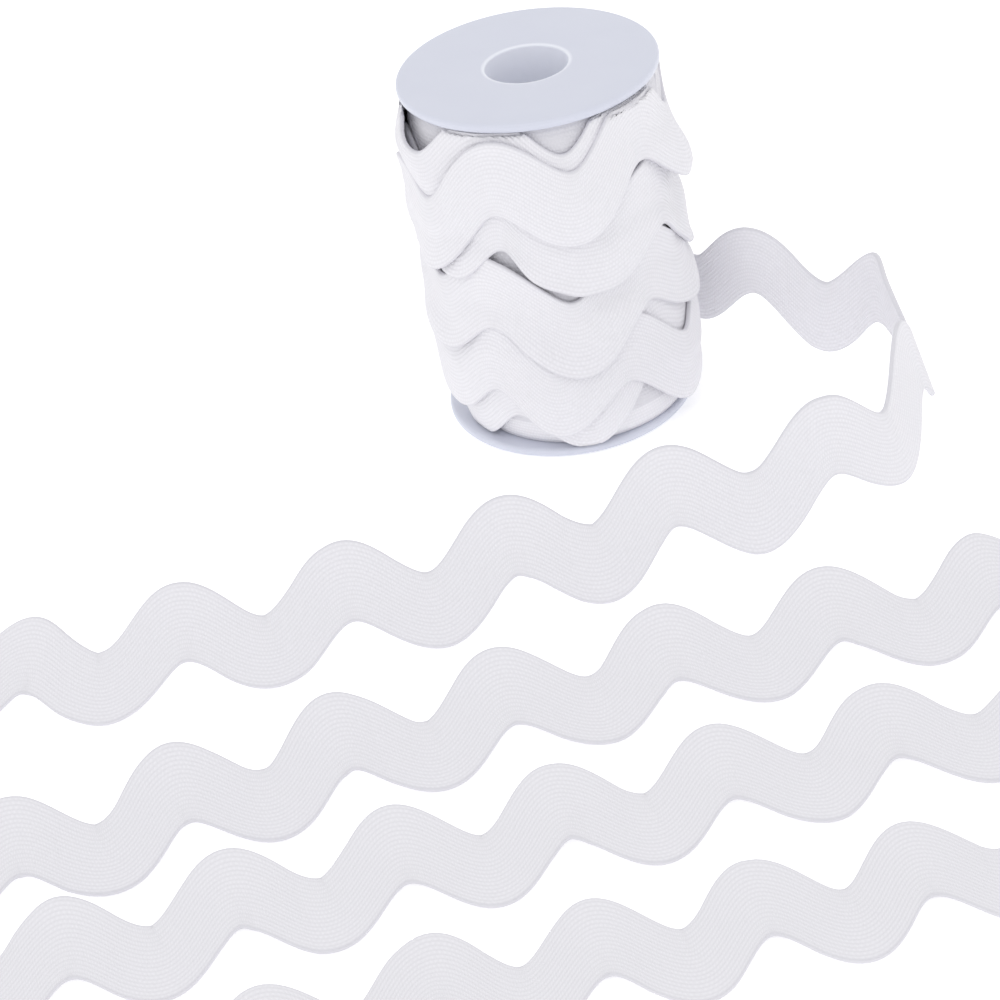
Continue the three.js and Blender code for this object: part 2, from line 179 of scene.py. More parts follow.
# Places across the band where the mesh has points: each rounded edge is two quarter circles, and the flat
# part between them has even steps
EDGE_SHARE = (THICK / 2) / (STRETCH * HALF_BAND)
EDGE_TURN = np.radians([0, 30, 60, 90])
edge_sides = 1 - EDGE_SHARE * (1 - np.cos(EDGE_TURN))
FLAT_POINTS = 15
FLAT_REACH = 0.86
flat_sides = np.linspace(FLAT_REACH, -FLAT_REACH, FLAT_POINTS)
SIDES = np.concatenate([edge_sides, flat_sides, -edge_sides[::-1]])
edge_half = (THICK / 2) * np.sin(EDGE_TURN)
HALF = np.concatenate([edge_half, np.full(FLAT_POINTS, THICK / 2), edge_half[::-1]])
print("band", round(2 * STRETCH * HALF_BAND, 1), "mm across its own line,", len(SIDES), "points across")

# %% [markdown]
# Cloth is never quite even. A few long sine waves of different lengths, laid over the ribbon's own length and
# width, lift and lower it by a fraction of a millimetre. They are drawn from a seeded generator, so each run
# gives the same trim.

# %% Unevenness
WAVELENGTHS = (14.0, 19.0, 27.0, 41.0, 60.0)
MOST_TILT = 1.6
LEAST_STRENGTH = 0.5
USUAL_SUM = 2.2


def uneven(length, side, seed, size):
    """Sum of one sine of the length, in mm, for each wavelength: each starts at a random turn, is tilted
    across the sides by a random amount and has a random strength, and the sum is brought to size."""
    draw = np.random.default_rng(seed)
    total = np.zeros(np.broadcast(length, side).shape)
    for wavelength in WAVELENGTHS:
        turn = draw.uniform(0, 2 * np.pi)
        tilt = draw.uniform(-MOST_TILT, MOST_TILT)
        swell = np.sin(2 * np.pi * length / wavelength + tilt * side + turn)
        total += swell * draw.uniform(LEAST_STRENGTH, 1.0)
    return size * total / USUAL_SUM


# %% [markdown]
# The trim is worked out as a thin middle surface. Its thickness could be a Solidify modifier, but that would
# leave square edges. Here both faces are laid off along the surface's normal, and the edges come out round.

# %% The ribbon's two faces, and its own coordinates
def ribbon_rings(middle, lowest=None):
    """Rings round the band, from its middle surface of shape (count, sides, 3) in mm: the upper face is half
    the thickness out along the normal, the lower face the same way in, and both meet at the edges."""
    along = np.gradient(middle, axis=0)
    across = np.gradient(middle, axis=1)
    normal = np.cross(across, along)
    normal /= np.linalg.norm(normal, axis=2, keepdims=True)
    upper = middle + normal * HALF[None, :, None]
    lower = middle - normal * HALF[None, :, None]
    rings = np.concatenate([upper, lower[:, -2:0:-1]], axis=1)
    if lowest is not None:
        rings[..., 2] = np.maximum(rings[..., 2], lowest)
    return rings


def ribbon_uv(middle):
    """Length along the wavy middle line and distance across, both in mm, for each point of a ring."""
    centre = middle[:, len(SIDES) // 2]
    length = np.concatenate([[0], np.cumsum(np.linalg.norm(np.diff(centre, axis=0), axis=1))])
    columns = np.concatenate([SIDES, SIDES[-2:0:-1]]) * STRETCH * HALF_BAND
    return np.stack(np.broadcast_arrays(length[:, None], columns[None, :]), axis=-1), length


# %% [markdown]
# ## The loose end
# Its route is the same table as in the part's source: where the middle of the trim passes, how
# high it is lifted, and how steeply the band stands at its lower and upper edge. It leaves the roll on edge,
# bends round at the right, leans back along the first row, and lies nearly flat after that.

# %% Route of the loose end
# x, y, lift, low slope, high slope, repeat; in millimetres from the spool's foot and degrees
ROUTE = np.array([
    (16.9, 29.4, 5.4, 90, 90, 32),
    (26.5, 22.4, 5, 90, 90, 32),
    (35.5, 15.5, 4.2, 90, 90, 32),
    (46, 8, 3.4, 89, 89, 33.5),
    (62, 0, 1.6, 98, 98, 35),
    (72, -6.5, 0.8, 100, 98, 30),
    # the bend that brings it back towards the front
    (77.8, -15, 0, 80, 80, 29),
    (80, -26, 0, 76, 76, 32),
    (79, -38, 0, 74, 74, 34.5),
    (71.5, -51.5, 0, 72, 74, 36.5),
    # first row, leaning back more and more
    (58.5, -65, 0, 64, 76, 36.5),
    (33, -70.6, 0, 46, 69, 37),
    (1.4, -76.8, 0, 29, 63, 36.5),
    (-34.4, -83, 0, 19, 57, 37),
    (-76.3, -89.2, 0, 13, 50, 36.5),
    (-114, -92.6, 0, 8, 44, 35.5),
    # first turn back, flat on the surface
    (-137, -92, 0, 2, 28, 36),
    (-160, -98, 0, 0, 10, 37),
    (-172, -118, 0, -4, 2, 37),
    (-163, -141, 0, -16, 0, 37),
    (-141, -151, 0, -26, 0, 36.5),
    # second row
    (-118, -148, 0, -34, 0, 35),
    (-75.5, -136.6, 0, -40, 0, 34),
    (-24, -124.2, 0, -38, 0, 35),
    (29, -114.3, 0, -37, 0, 35),
    (80, -107.4, 0, -34, 0, 35),
    # second turn back
    (101, -102, 0, -20, 0, 34),
    (122, -101, 0, -10, 0, 32.5),
    (140, -113, 0, -3, 2, 31.5),
    (141, -134, 0, 0, 6, 31),
    (124, -149, 0, 0, 14, 31.5),
    # third row
    (99, -148.5, 0, 0, 18, 33),
    (71.7, -146.5, 0, 0, 20, 34),
    (23.4, -153.4, 0, 0, 22, 33.2),
    (-26.1, -161.6, 0, 0, 22, 32.2),
    (-74.5, -170.9, 0, 0, 24, 33),
    (-118, -180.2, 0, 0, 24, 32.5),
    # third turn back
    (-141, -182, 0, 0, 14, 30.5),
    (-162, -192, 0, 0, 5, 29.2),
    (-168, -213, 0, -3, 1, 28.2),
    (-154, -231, 0, -8, 0, 28.6),
    (-131, -232, 0, -12, 0, 28.8),
    (-107, -220, 0, -14, 0, 29.4),
    # fourth row, to the cut end
    (-82, -210, 0, -11, 0, 30.6),
    (-46, -200.2, 0, -10, 0, 30.6),
    (-12, -195.9, 0, -10, 0, 30.6),
    (18.5, -191.4, 0, -10, 0, 30.6),
    (64, -184.4, 0, -10, 0, 30.6),
    (92, -178, 0, -8, 0, 30.6),
], float)
X, Y, LIFT, LOW, HIGH, REPEAT = range(6)
FIRST_WAVES = -0.17
ROUTE_STEP = 0.5

plan_steps = np.hypot(*np.diff(ROUTE[:, [X, Y]], axis=0).T)
route_knots = np.concatenate([[0], np.cumsum(plan_steps)])
route_count = int(round(route_knots[-1] / ROUTE_STEP)) + 1
track = smooth(ROUTE, route_knots, np.linspace(0, route_knots[-1], route_count))
track_steps = np.hypot(*np.diff(track[:, [X, Y]], axis=0).T)
track_length = np.concatenate([[0], np.cumsum(track_steps)])
track_waves = FIRST_WAVES + np.concatenate([[0], np.cumsum(track_steps / track[1:, REPEAT])])
track_heading = np.unwrap(np.arctan2(np.gradient(track[:, Y]), np.gradient(track[:, X])))
print("loose end", round(track_length[-1]), "mm long, with", round(track_waves[-1]), "waves")


# %% [markdown]
# The band leans over as it goes, more at one edge than at the other. So its section is a shallow arc, and the
# whole section is set down until its lowest point rests on the surface.

# %% The middle surface of the loose end
LEAST_BEND = 1e-5
DEPTH_SAMPLES = 13


def section(across, low, high):
    """Sideways run and rise of a point of the leaning band: its slope changes evenly from low at the lower
    edge to high at the upper edge, so the section is an arc, measured from its own middle."""
    bend = (high - low) / WIDTH
    middle = (low + high) / 2
    straight = np.abs(bend) < LEAST_BEND
    safe = np.where(straight, 1, bend)
    here = middle + bend * across
    run = np.where(straight, across * np.cos(middle), (np.sin(here) - np.sin(middle)) / safe)
    rise = np.where(straight, across * np.sin(middle), (np.cos(middle) - np.cos(here)) / safe)
    return run, rise


def loose_surface(length, side):
    """Middle surface of the loose end at a length along its route, in mm: the section's run is laid off
    square to the heading, and its rise from its lowest point. Past both ends the route runs straight on."""
    repeat = np.interp(length, track_length, track[:, REPEAT])
    waves = np.interp(length, track_length, track_waves) + np.minimum(length, 0) / repeat
    along, across = wave(waves, side)
    spot = length + along * repeat
    x, y, lift, low, high = (np.interp(spot, track_length, track[:, k]) for k in (X, Y, LIFT, LOW, HIGH))
    heading = np.interp(spot, track_length, track_heading)
    past = np.minimum(spot, 0) + np.maximum(spot - track_length[-1], 0)
    low, high = np.radians(low), np.radians(high)
    run, rise = section(across, low, high)
    parts = np.linspace(-WIDTH / 2, WIDTH / 2, DEPTH_SAMPLES)
    depth = np.min([section(part, low, high)[1] for part in parts], axis=0)
    resting = THICK / 2 * np.maximum(np.abs(np.cos(low)), np.abs(np.cos(high)))
    px = x + past * np.cos(heading) + run * np.sin(heading)
    py = y + past * np.sin(heading) - run * np.cos(heading)
    return np.stack([px, py, rise - depth + lift + resting], axis=-1)


# %% [markdown]
# The unevenness only lifts the loose end, because the surface under it is hard. It fades out towards the
# roll, where the wound trim takes over.

# %% The loose ribbon
LOOSE_STEP = 0.8
LOOSE_UNEVEN = 0.3
LOOSE_SEED = 11
CALM_NEAR_ROLL = 20.0

loose_length = np.linspace(0, track_length[-1], int(track_length[-1] / LOOSE_STEP))
loose_middle = loose_surface(loose_length[:, None], SIDES[None, :])
from_roll = ease(loose_length[:, None] / CALM_NEAR_ROLL)
lifted = np.abs(uneven(loose_length[:, None], SIDES[None, :], LOOSE_SEED, LOOSE_UNEVEN))
loose_middle[..., 2] += from_roll * lifted
loose_uv, loose_run = ribbon_uv(loose_middle)
loose_rings = ribbon_rings(loose_middle, lowest=0.0)
loose_ribbon = skin("loose_ric_rac", loose_rings * MM + FOOT, loose_uv)

# %% [markdown]
# ## The winding
# A winding is layers: each turn lies on what was wound before, stretched over its edges and hollows. So the
# roll is kept as a field of radii, a number for each small cell round the spool and up it. The trim is laid
# on it in short runs, from the inmost turn to the outmost. Under each run the field is first made taut, by
# the largest and then the mean value over a small window, and the run lies on that.

# %% Where the turns lie
# angle round the spool, height of the trim's middle, and the count of waves from the loose end inwards
TURNS = np.array([
    # the outermost turn climbs from the place where the loose end leaves
    (30, 12, -0.28),
    (64, 21, 0.24),
    (120, 36, 1.08),
    (182, 56, 2.0),
    (215, 64, 2.5),
    (248, 68.8, 3.0),
    (283, 71.2, 3.5),
    (315, 73.9, 4.0),
    (348, 73.3, 4.5),
    # the turn under it lies against the upper flange
    (460, 73, 6.5),
    (572, 75, 8.5),
    (606, 75.2, 9.0),
    (640, 75.2, 9.5),
    (673, 75.5, 10.0),
    (706, 75.2, 10.5),
    # the next three go down the roll
    (820, 69, 12.5),
    (941, 62.5, 14.5),
    (969, 59.2, 15.0),
    (980, 55.4, 15.15),
    (995, 56.4, 15.32),
    (1009, 58.2, 15.5),
    (1046, 54.4, 16.0),
    (1080, 51.9, 16.5),
    (1288, 42, 19.5),
    (1320, 39.2, 20.0),
    (1355.5, 38.3, 20.5),
    (1389, 39, 21.0),
    (1422, 42.5, 21.5),
    (1647, 25.2, 24.5),
    (1677, 22.2, 25.0),
    (1704, 22.4, 25.5),
    (1735, 21.5, 26.0),
    (1769, 19.3, 26.5),
    # the inmost one that is modelled fills the foot
    (1880, 16, 28.3),
    (2014, 16.5, 30.5),
    (2045, 15, 31.0),
    (2090, 19, 31.7),
    (2110, 23.5, 32.0),
    (2140, 31, 32.5),
    (2200, 36, 33.4),
], float)
ANGLE, HEIGHT, WAVES = range(3)
LEAVES_AT = 60.1
SPOOL_HEIGHT = 87.5
FLANGE_RADIUS = 30.0
FLANGE_THICK = 2.2
CLEAR = 0.3
# Radius of the hidden turns at a height: they tuck in at both flanges
CORE = np.array([
    (2.5, 26),
    (5, 26.8),
    (9, 27.8),
    (12, 28.4),
    (24, 29.2),
    (60, 29.0),
    (78, 28.8),
    (82, 28.4),
    (85, 27.4),
], float)
CORE_HEIGHT, CORE_RADIUS = range(2)
# The roll was wound a little to one side at the foot: how far out, towards which angle, and between which
# heights this fades out
LEAN_OUT = 3.2
LEAN_TOWARDS = 322
LEAN_FULL = 4.0
LEAN_ENDS = 36.0
LAYER = 1.05
CELLS_ROUND = 720
CELLS_UP = 166
RUN_DEGREES = 120
BRIDGE_ROUND = 12
BRIDGE_UP = 3
EVEN_ROUND = 10
FIELD_LOW = FLANGE_THICK + CLEAR
FIELD_HIGH = SPOOL_HEIGHT - FLANGE_THICK - CLEAR

cell_angles = np.arange(CELLS_ROUND) * 360 / CELLS_ROUND
cell_heights = np.linspace(FIELD_LOW, FIELD_HIGH, CELLS_UP)


def turn_at(angle):
    """Height of the trim's middle and its count of waves at a winding angle."""
    found = smooth(TURNS[:, [HEIGHT, WAVES]], TURNS[:, ANGLE], angle)
    return found[..., 0], found[..., 1]


def core_radius(angle, height):
    """Radius of the hidden turns: smooth through the table, plus LEAN_OUT times the cosine of the angle from
    the side that they lean to, which fades out up the roll."""
    lean = LEAN_OUT * ease((LEAN_ENDS - height) / (LEAN_ENDS - LEAN_FULL))
    upright = smooth(CORE[:, [CORE_RADIUS]], CORE[:, CORE_HEIGHT], height)[..., 0]
    return upright + lean * np.cos(np.radians(angle - LEAN_TOWARDS))


def windowed(field, reach_round, reach_up, combine):
    """Each cell becomes the largest or the mean of the cells within reach, round the roll and then up it."""
    turned = np.stack([np.roll(field, k, axis=0) for k in range(-reach_round, reach_round + 1)])
    result = combine(turned, axis=0)
    held = np.pad(result, ((0, 0), (reach_up, reach_up)), mode="edge")
    return combine(np.stack([held[:, k:k + CELLS_UP] for k in range(2 * reach_up + 1)]), axis=0)


def lay_turns():
    """Taut fields under each run of the winding, and the field of the finished roll."""
    laid = core_radius(cell_angles[:, None], cell_heights[None, :])
    beneath = laid
    ends = np.arange(TURNS[-1, ANGLE], LEAVES_AT, -RUN_DEGREES)
    fields = []
    for end in ends:
        start = max(end - RUN_DEGREES, LEAVES_AT)
        bridged = windowed(beneath, BRIDGE_ROUND, BRIDGE_UP, np.max)
        taut = windowed(bridged, EVEN_ROUND, BRIDGE_UP, np.mean)
        fields.append((start, end, taut))
        angle = cell_angles + 360 * np.ceil((start - cell_angles) / 360)
        height, waves = turn_at(angle)
        over = (height + edge_across(waves, 1))[:, None]
        under = (height + edge_across(waves, -1))[:, None]
        covered = (angle < end)[:, None] & (cell_heights <= over) & (cell_heights >= under)
        beneath, laid = laid, np.where(covered, np.maximum(laid, taut + LAYER), laid)
    return fields, laid


wound_fields, wound_field = lay_turns()
print("winding radius", wound_field.min().round(1), "to", wound_field.max().round(1), "mm")


# %% [markdown]
# The wound ribbon follows the same table. Each of its points takes its radius from the taut field under its
# own run, so a turn that others lie on stays beneath them. Where nothing lies on it, its outer lobes spring
# away a little, as on the real roll. Its last stretch eases over into the loose end, so the two ribbons meet.

# %% Reading the field between its cells
def sample(field, angle, height):
    """Value of a field between its cells, mixed from the four cells round a point."""
    i = np.mod(angle, 360) * CELLS_ROUND / 360
    j = np.clip((height - FIELD_LOW) / (FIELD_HIGH - FIELD_LOW), 0, 1) * (CELLS_UP - 1)
    i0, j0 = np.floor(i).astype(int), np.minimum(np.floor(j).astype(int), CELLS_UP - 2)
    fi, fj = i - i0, j - j0
    i0, i1 = i0 % CELLS_ROUND, (i0 + 1) % CELLS_ROUND
    near = field[i0, j0] * (1 - fj) + field[i0, j0 + 1] * fj
    far = field[i1, j0] * (1 - fj) + field[i1, j0 + 1] * fj
    return near * (1 - fi) + far * fi


# %% The wound ribbon
# Lobes that stand out from the winding: winding angle, height, reach round and up, and how far out
LOBES = np.array([
    (348, 62, 16, 8, 2.6),
    (203, 71, 16, 6, -0.75),
    (566, 80, 14, 8, 3.0),
    (362, 80, 26, 9, -1.1),
    (712, 80, 26, 9, -1.1),
    (205, 50, 16, 8, 0.6),
    (1335, 50, 26, 6, 0.8),
    (1640, 14, 16, 8, 0.8),
    (1772, 9, 22, 10, 1.4),
    # pressed in where the loose end leaves
    (1850, 24, 26, 20, -0.5),
], float)
LOBE_FLARE = 0.7
WOUND_STEP = 1.9
WOUND_UNEVEN = 0.15
WOUND_SEED = 23
MM_PER_DEGREE = 0.55
COVER_ROUND = 6
COVER_UP = 4
COVER_FROM = 0.6
COVER_FADE = 0.8
RIM_FADE = 0.6
TOP_PLAY = 1.6
FOOT_PLAY = 1.6
PEEL = 18.0
PEEL_RADIUS = 33.0

wound_angle = np.arange(TURNS[-1, ANGLE], LEAVES_AT, -WOUND_STEP)
wound_angle = np.append(wound_angle, LEAVES_AT)[:, None]
middle_height, wound_waves = turn_at(wound_angle)
waves_per_degree = np.gradient(wound_waves[:, 0], wound_angle[:, 0])[:, None]
lean, wound_across = wave(wound_waves, SIDES[None, :])
lean_angle = wound_angle + lean / waves_per_degree
lean_height, _ = turn_at(np.maximum(lean_angle, TURNS[0, ANGLE]))
wound_height = lean_height + wound_across
radius = np.zeros_like(wound_height)
for start, end, taut in wound_fields:
    mine = (wound_angle[:, 0] >= start) & (wound_angle[:, 0] <= end)
    radius[mine] = sample(taut, lean_angle[mine], wound_height[mine]) + LAYER / 2

# Outer lobes spring away from the roll where nothing lies on them
cover = windowed(wound_field, COVER_ROUND, COVER_UP, np.mean)
open_air = ease(1 - (sample(cover, lean_angle, wound_height) - radius - COVER_FROM) / COVER_FADE)
outer = np.clip(SIDES[None, :] * np.cos(2 * np.pi * wound_waves), 0, 1) ** 2
radius += open_air * LOBE_FLARE * outer
for angle, height, reach_round, reach_up, out in LOBES:
    near = np.exp(-(((lean_angle - angle) / reach_round) ** 2) - ((wound_height - height) / reach_up) ** 2)
    radius += open_air * out * near
radius += open_air * uneven(wound_angle * MM_PER_DEGREE, SIDES[None, :], WOUND_SEED, WOUND_UNEVEN)

# Under a flange the trim stops at it, and outside its rim it may reach a little past
rim_share = ease((radius - FLANGE_RADIUS - RIM_FADE) / RIM_FADE)
wound_height = np.minimum(wound_height, FIELD_HIGH - THICK / 2 + TOP_PLAY * rim_share)
wound_height = np.maximum(wound_height, FIELD_LOW + THICK / 2 - FOOT_PLAY * rim_share)

# The last stretch, up to the place where the trim leaves, eases over into the loose end
turn = np.radians(lean_angle)
wound_middle = np.stack([radius * np.cos(turn), radius * np.sin(turn), wound_height], axis=-1)
before_seam = -np.radians(wound_angle - LEAVES_AT) * PEEL_RADIUS
peeled = loose_surface(np.maximum(before_seam, -PEEL), SIDES[None, :])
share = ease(1 + before_seam / PEEL)[..., None]
wound_middle = wound_middle * (1 - share) + peeled * share
wound_uv, wound_run = ribbon_uv(wound_middle)
wound_uv[..., 0] -= wound_run[-1]
wound_rings = ribbon_rings(wound_middle)
wound_ribbon = skin("wound_ric_rac", wound_rings * MM + FOOT, wound_uv)
print("wound trim", round(wound_run[-1] / 1000, 2), "m along its wavy middle")

# %% [markdown]
# Between the lobes a little of the inner turns could show. They are a plain sleeve of the same trim, just
# inside the lowest turn that is modelled.

# %% Inner turns
SLEEVE_STEPS = 180
SLEEVE_LEVELS = 60
SLEEVE_BEHIND = 0.2
BARREL = 12.0
sleeve_turn = np.linspace(0, 2 * np.pi, SLEEVE_STEPS, endpoint=False)
sleeve_height = np.linspace(FIELD_LOW, FIELD_HIGH, SLEEVE_LEVELS)
sleeve_out = core_radius(np.degrees(sleeve_turn)[:, None], sleeve_height[None, :]) - SLEEVE_BEHIND
sleeve_inside = np.full((SLEEVE_STEPS, 1), BARREL + CLEAR)
profile_r = np.concatenate([sleeve_inside, sleeve_out, sleeve_inside], axis=1)
profile_z = np.concatenate([[FIELD_LOW], sleeve_height, [FIELD_HIGH]])
sleeve = np.stack([
    profile_r * np.cos(sleeve_turn)[:, None],
    profile_r * np.sin(sleeve_turn)[:, None],
    np.broadcast_to(profile_z, profile_r.shape),
], axis=-1)
sleeve_length = sleeve_turn[:, None] * CORE[0, CORE_RADIUS]
sleeve_uv = np.stack(np.broadcast_arrays(sleeve_length, profile_z[None, :]), axis=-1)
inner_turns = skin("inner_turns", sleeve * MM + FOOT, sleeve_uv, closed_along=True)

# %% [markdown]
# ## The spool
# A moulded spool is a body of revolution: a barrel with a through bore and two flanges with soft rims. It is
# turned here from one profile, with finer steps than the solid that it stands for.

# %% Spool
BORE = 9.5
RIM_ROUND = 0.9
LIP_ROUND = 0.5
LATHE_STEPS = 192


def quarter(r, z, size, from_degrees, to_degrees, count=7):
    """Arc of a rounded corner: centre (r, z) and radius size, between two directions."""
    turn = np.radians(np.linspace(from_degrees, to_degrees, count))
    return np.stack([r + size * np.cos(turn), z + size * np.sin(turn)], axis=1)


rim, lip = RIM_ROUND, LIP_ROUND
top, foot = SPOOL_HEIGHT, 0.0
outer_r, under = FLANGE_RADIUS - rim, FLANGE_THICK
profile = np.concatenate([
    quarter(BORE + lip, foot + lip, lip, 180, 270),
    quarter(outer_r, foot + rim, rim, 270, 360),
    quarter(outer_r, under - rim, rim, 0, 90),
    quarter(BARREL + lip, under + lip, lip, 270, 180),
    quarter(BARREL + lip, top - under - lip, lip, 180, 90),
    quarter(outer_r, top - under + rim, rim, 270, 360),
    quarter(outer_r, top - rim, rim, 0, 90),
    quarter(BORE + lip, top - lip, lip, 90, 180),
])
lathe_turn = np.linspace(0, 2 * np.pi, LATHE_STEPS, endpoint=False)[:, None]
spool_rings = np.stack([
    profile[None, :, 0] * np.cos(lathe_turn),
    profile[None, :, 0] * np.sin(lathe_turn),
    np.broadcast_to(profile[:, 1], (LATHE_STEPS, len(profile))),
], axis=-1)
spool_piece = skin("moulded_spool", spool_rings * MM + FOOT, closed_along=True)

# %% [markdown]
# ## Finishes
# Colours are given as on a paint chart, in sRGB hex, and one function turns them to linear light. One more
# function adds a node with its settings and links.

# %% Helpers for materials
def linear(colour):
    """Linear RGBA of an sRGB hex colour: c/12.92 under 0.04045, and ((c + 0.055) / 1.055)^2.4 above it."""
    parts = np.array([int(colour[k:k + 2], 16) for k in (1, 3, 5)]) / 255
    light = np.where(parts <= 0.04045, parts / 12.92, ((parts + 0.055) / 1.055) ** 2.4)
    return (*light.tolist(), 1.0)


def add(tree, kind, inputs=None, **settings):
    """Adds a node: settings are its own properties, and inputs are values, or output sockets to link."""
    made = tree.nodes.new(kind)
    for name, value in settings.items():
        setattr(made, name, value)
    for key, value in (inputs or {}).items():
        if isinstance(value, bpy.types.NodeSocket):
            tree.links.new(value, made.inputs[key])
        else:
            made.inputs[key].default_value = value
    return made


def new_material(name):
    """Empty material with a Principled surface and its output."""
    material = bpy.data.materials.new(name)
    material.use_nodes = True
    tree = material.node_tree
    tree.nodes.clear()
    shader = add(tree, "ShaderNodeBsdfPrincipled")
    add(tree, "ShaderNodeOutputMaterial", {"Surface": shader.outputs["BSDF"]})
    return material, tree, shader


# %% [markdown]
# The trim is a plait of white polyester and cotton. Its threads cross in small even stitches, in columns
# that follow the wave, and each column is half a stitch on from the next. The columns are drawn 1 mm wide, a
# little coarser than the real ones, which are too fine to show. The pattern reads the trim's own UV map,
# which holds millimetres along and across, so it follows every bend. Shade is painted into its colour: a
# little between the stitches, and on the last millimetre at both edges, where the rounded band turns away
# from the light.

# %% Plaited trim
COLUMN = 1.0
STITCH = 0.74
RELIEF = 0.1
STITCH_DEPTH = 0.3
# Painted shade on both edges of the band, from where it begins to where it is full, in mm from the middle
EDGE_SHADE_FROM = 8.3
EDGE_SHADE_FULL = 9.1
# Colour of the painted shade between the stitches, and of the thread on top of them
SHADE_BETWEEN_STITCHES = "#e6e5ea"
ON_STITCHES = "#efeef3"
# Colour of the painted shade on both edges
EDGE_SHADE_COLOUR = "#dddce2"

trim_material, tree, shader = new_material("plaited_white_trim")
uv = add(tree, "ShaderNodeUVMap", uv_map="trim")
place = add(tree, "ShaderNodeSeparateXYZ", {0: uv.outputs[0]})
along_trim, across_trim = place.outputs[0], place.outputs[1]

# A column's ridge is a half sine across, and its stitches are a cosine along
columns = add(tree, "ShaderNodeMath", {0: across_trim, 1: COLUMN}, operation="DIVIDE")
column_share = add(tree, "ShaderNodeMath", {0: columns.outputs[0]}, operation="FRACT")
column_count = add(tree, "ShaderNodeMath", {0: columns.outputs[0]}, operation="FLOOR")
half_step = add(tree, "ShaderNodeMath", {0: column_count.outputs[0], 1: 0.5}, operation="MULTIPLY")
stitches = add(
    tree,
    "ShaderNodeMath",
    {0: along_trim, 1: 1 / STITCH, 2: half_step.outputs[0]},
    operation="MULTIPLY_ADD",
)
stitch_turn = add(tree, "ShaderNodeMath", {0: stitches.outputs[0], 1: 2 * np.pi}, operation="MULTIPLY")
stitch_wave = add(tree, "ShaderNodeMath", {0: stitch_turn.outputs[0]}, operation="COSINE")
stitch = add(
    tree,
    "ShaderNodeMath",
    {0: stitch_wave.outputs[0], 1: STITCH_DEPTH, 2: 1 - STITCH_DEPTH},
    operation="MULTIPLY_ADD",
)
ridge_turn = add(tree, "ShaderNodeMath", {0: column_share.outputs[0], 1: np.pi}, operation="MULTIPLY")
ridge = add(tree, "ShaderNodeMath", {0: ridge_turn.outputs[0]}, operation="SINE")
relief = add(tree, "ShaderNodeMath", {0: ridge.outputs[0], 1: stitch.outputs[0]}, operation="MULTIPLY")
bump = add(tree, "ShaderNodeBump", {"Strength": 1.0, "Distance": RELIEF * MM, "Height": relief.outputs[0]})

# Colour: painted shade, a little darker between the stitches and on the last millimetre of both edges
threads = add(
    tree,
    "ShaderNodeMix",
    {"Factor": relief.outputs[0], "A": linear(SHADE_BETWEEN_STITCHES), "B": linear(ON_STITCHES)},
    data_type="RGBA",
)
# Painted shade on the last millimetre of both edges, where the rounded band turns away from the light
from_middle = add(tree, "ShaderNodeMath", {0: across_trim}, operation="ABSOLUTE")
edge_shade = add(
    tree,
    "ShaderNodeMapRange",
    {"Value": from_middle.outputs[0], "From Min": EDGE_SHADE_FROM, "From Max": EDGE_SHADE_FULL},
    interpolation_type="SMOOTHSTEP",
)
trim_with_painted_shade = add(
    tree,
    "ShaderNodeMix",
    {"Factor": edge_shade.outputs[0], "A": threads.outputs["Result"], "B": linear(EDGE_SHADE_COLOUR)},
    data_type="RGBA",
)
tree.links.new(trim_with_painted_shade.outputs["Result"], shader.inputs["Base Color"])
tree.links.new(bump.outputs[0], shader.inputs["Normal"])
shader.inputs["Roughness"].default_value = 0.9
shader.inputs["Specular IOR Level"].default_value = 0.2
shader.inputs["Sheen Weight"].default_value = 0.15
print("plait: columns of", COLUMN, "mm with a stitch every", STITCH, "mm")

# %% [markdown]
# The spool is injection-moulded polystyrene: milky, faintly blue, smooth, with a soft gloss on its rims.
# Light comes through the thin wall of the bore, which a solid surface can't show, so the bore gets a paler
# tone.

# %% Moulded plastic
BORE_PALE_TO = 9.7
BORE_PALE_ENDS = 10.6
CLOUDS_PER_METRE = 90.0
MILKY_DARK = "#d2d5e3"
MILKY_LIGHT = "#d7dae7"
# Colour of the light painted into the bore
BORE_PAINTED_LIGHT = "#f1f3fc"

plastic_material, tree, shader = new_material("moulded_polystyrene")
place = add(tree, "ShaderNodeTexCoord")
clouds = add(
    tree,
    "ShaderNodeTexNoise",
    {"Vector": place.outputs["Object"], "Scale": CLOUDS_PER_METRE, "Detail": 3.0},
)
milky = add(
    tree,
    "ShaderNodeMix",
    {"Factor": clouds.outputs[0], "A": linear(MILKY_DARK), "B": linear(MILKY_LIGHT)},
    data_type="RGBA",
)

# Distance from the spool's axis: the place less the foot's, with its height left out
from_foot = add(
    tree,
    "ShaderNodeVectorMath",
    {0: place.outputs["Object"], 1: FOOT.tolist()},
    operation="SUBTRACT",
)
outwards = add(
    tree,
    "ShaderNodeVectorMath",
    {0: from_foot.outputs[0], 1: (1, 1, 0)},
    operation="MULTIPLY",
)
distance = add(tree, "ShaderNodeVectorMath", {0: outwards.outputs[0]}, operation="LENGTH")
past_bore_light = add(
    tree,
    "ShaderNodeMapRange",
    {"Value": distance.outputs["Value"], "From Min": BORE_PALE_TO * MM, "From Max": BORE_PALE_ENDS * MM},
)
# Painted light: the bore's paler tone stands in for light through its thin wall, over the milky plastic
milky_and_bore_light = add(
    tree,
    "ShaderNodeMix",
    {"Factor": past_bore_light.outputs[0], "A": linear(BORE_PAINTED_LIGHT), "B": milky.outputs["Result"]},
    data_type="RGBA",
)
tree.links.new(milky_and_bore_light.outputs["Result"], shader.inputs["Base Color"])
shader.inputs["Roughness"].default_value = 0.35
shader.inputs["IOR"].default_value = 1.59
print("spool plastic: bore pale out to", BORE_PALE_TO, "mm from the axis")

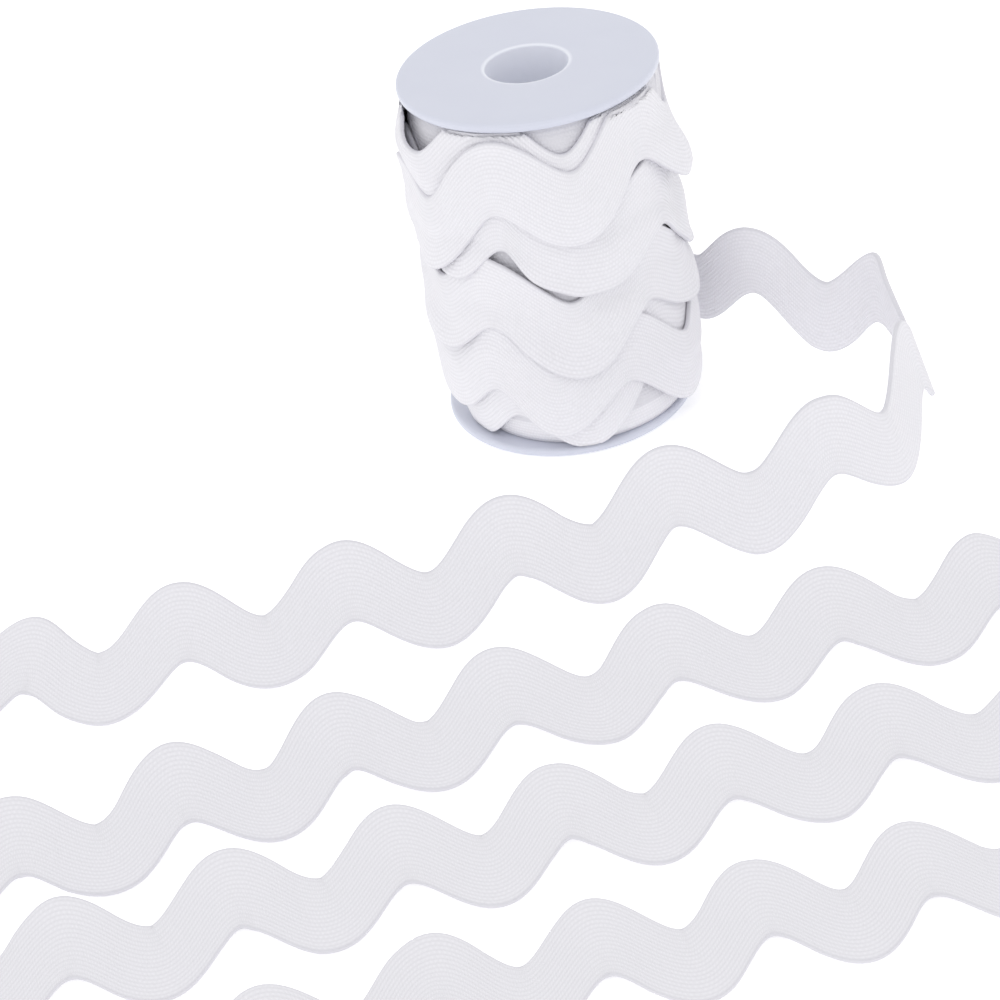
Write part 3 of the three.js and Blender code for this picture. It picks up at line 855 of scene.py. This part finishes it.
# %% Which piece has which finish
for piece, material in (
    (loose_ribbon, trim_material),
    (wound_ribbon, trim_material),
    (inner_turns, trim_material),
    (spool_piece, plastic_material),
):
    piece.data.materials.append(material)

# %% [markdown]
# ## Floor and light
# A white sheet of studio paper, lit evenly from all sides. One broad, weak light from above, a little to the
# front and left, gives the turns of the roll their soft shadows.

# %% Studio paper
WORLD_STRENGTH = 0.93
PAPER_REACH = 4.0
PAPER_BELOW = 0.0002
PAPER_GLOW = 0.35

world = bpy.data.worlds.new("studio")
world.use_nodes = True
world.node_tree.nodes["Background"].inputs["Color"].default_value = (1.0, 1.0, 1.0, 1.0)
world.node_tree.nodes["Background"].inputs["Strength"].default_value = WORLD_STRENGTH
bpy.context.scene.world = world
bpy.context.scene.view_settings.view_transform = "Standard"

floor_mesh = bpy.data.meshes.new("studio_paper")
corners = [(x * PAPER_REACH, y * PAPER_REACH, 0) for x, y in ((-1, -1), (1, -1), (1, 1), (-1, 1))]
floor_mesh.from_pydata(corners, [], [(0, 1, 2, 3)])
floor = bpy.data.objects.new("studio_paper", floor_mesh)
floor.location.z = -PAPER_BELOW
bpy.context.scene.collection.objects.link(floor)
paper_material, tree, shader = new_material("white_paper")
shader.inputs["Base Color"].default_value = linear("#f6f6f6")
shader.inputs["Roughness"].default_value = 1.0
shader.inputs["Emission Color"].default_value = (1.0, 1.0, 1.0, 1.0)
shader.inputs["Emission Strength"].default_value = PAPER_GLOW
floor_mesh.materials.append(paper_material)

# %% Key light
KEY_SIZE = 0.9
KEY_POWER = 1.6
KEY_PLACE = np.array([-0.3, -0.55, 1.4])

key_data = bpy.data.lights.new("key", "AREA")
key_data.shape = "DISK"
key_data.size = KEY_SIZE
key_data.energy = KEY_POWER
key = bpy.data.objects.new("key", key_data)
aim = -KEY_PLACE / np.linalg.norm(KEY_PLACE)
side_way = np.cross(aim, [0, 0, 1])
side_way /= np.linalg.norm(side_way)
facing = np.eye(4)
facing[:3, :3] = np.stack([side_way, np.cross(side_way, aim), -aim], axis=1)
facing[:3, 3] = KEY_PLACE
key.matrix_world = Matrix(facing.tolist())
bpy.context.scene.collection.objects.link(key)
print("key light", round(float(np.linalg.norm(KEY_PLACE)), 2), "m from the part's middle")

# %% [markdown]
# ## What stands for what
# Each finished piece rides with the part's one body and stands for its solid.

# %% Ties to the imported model
for piece in (loose_ribbon, wound_ribbon, inner_turns, spool_piece):
    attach(piece, "root")
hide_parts("loose_end")
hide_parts("wound_trim")
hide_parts("wound_trim")
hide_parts("spool")
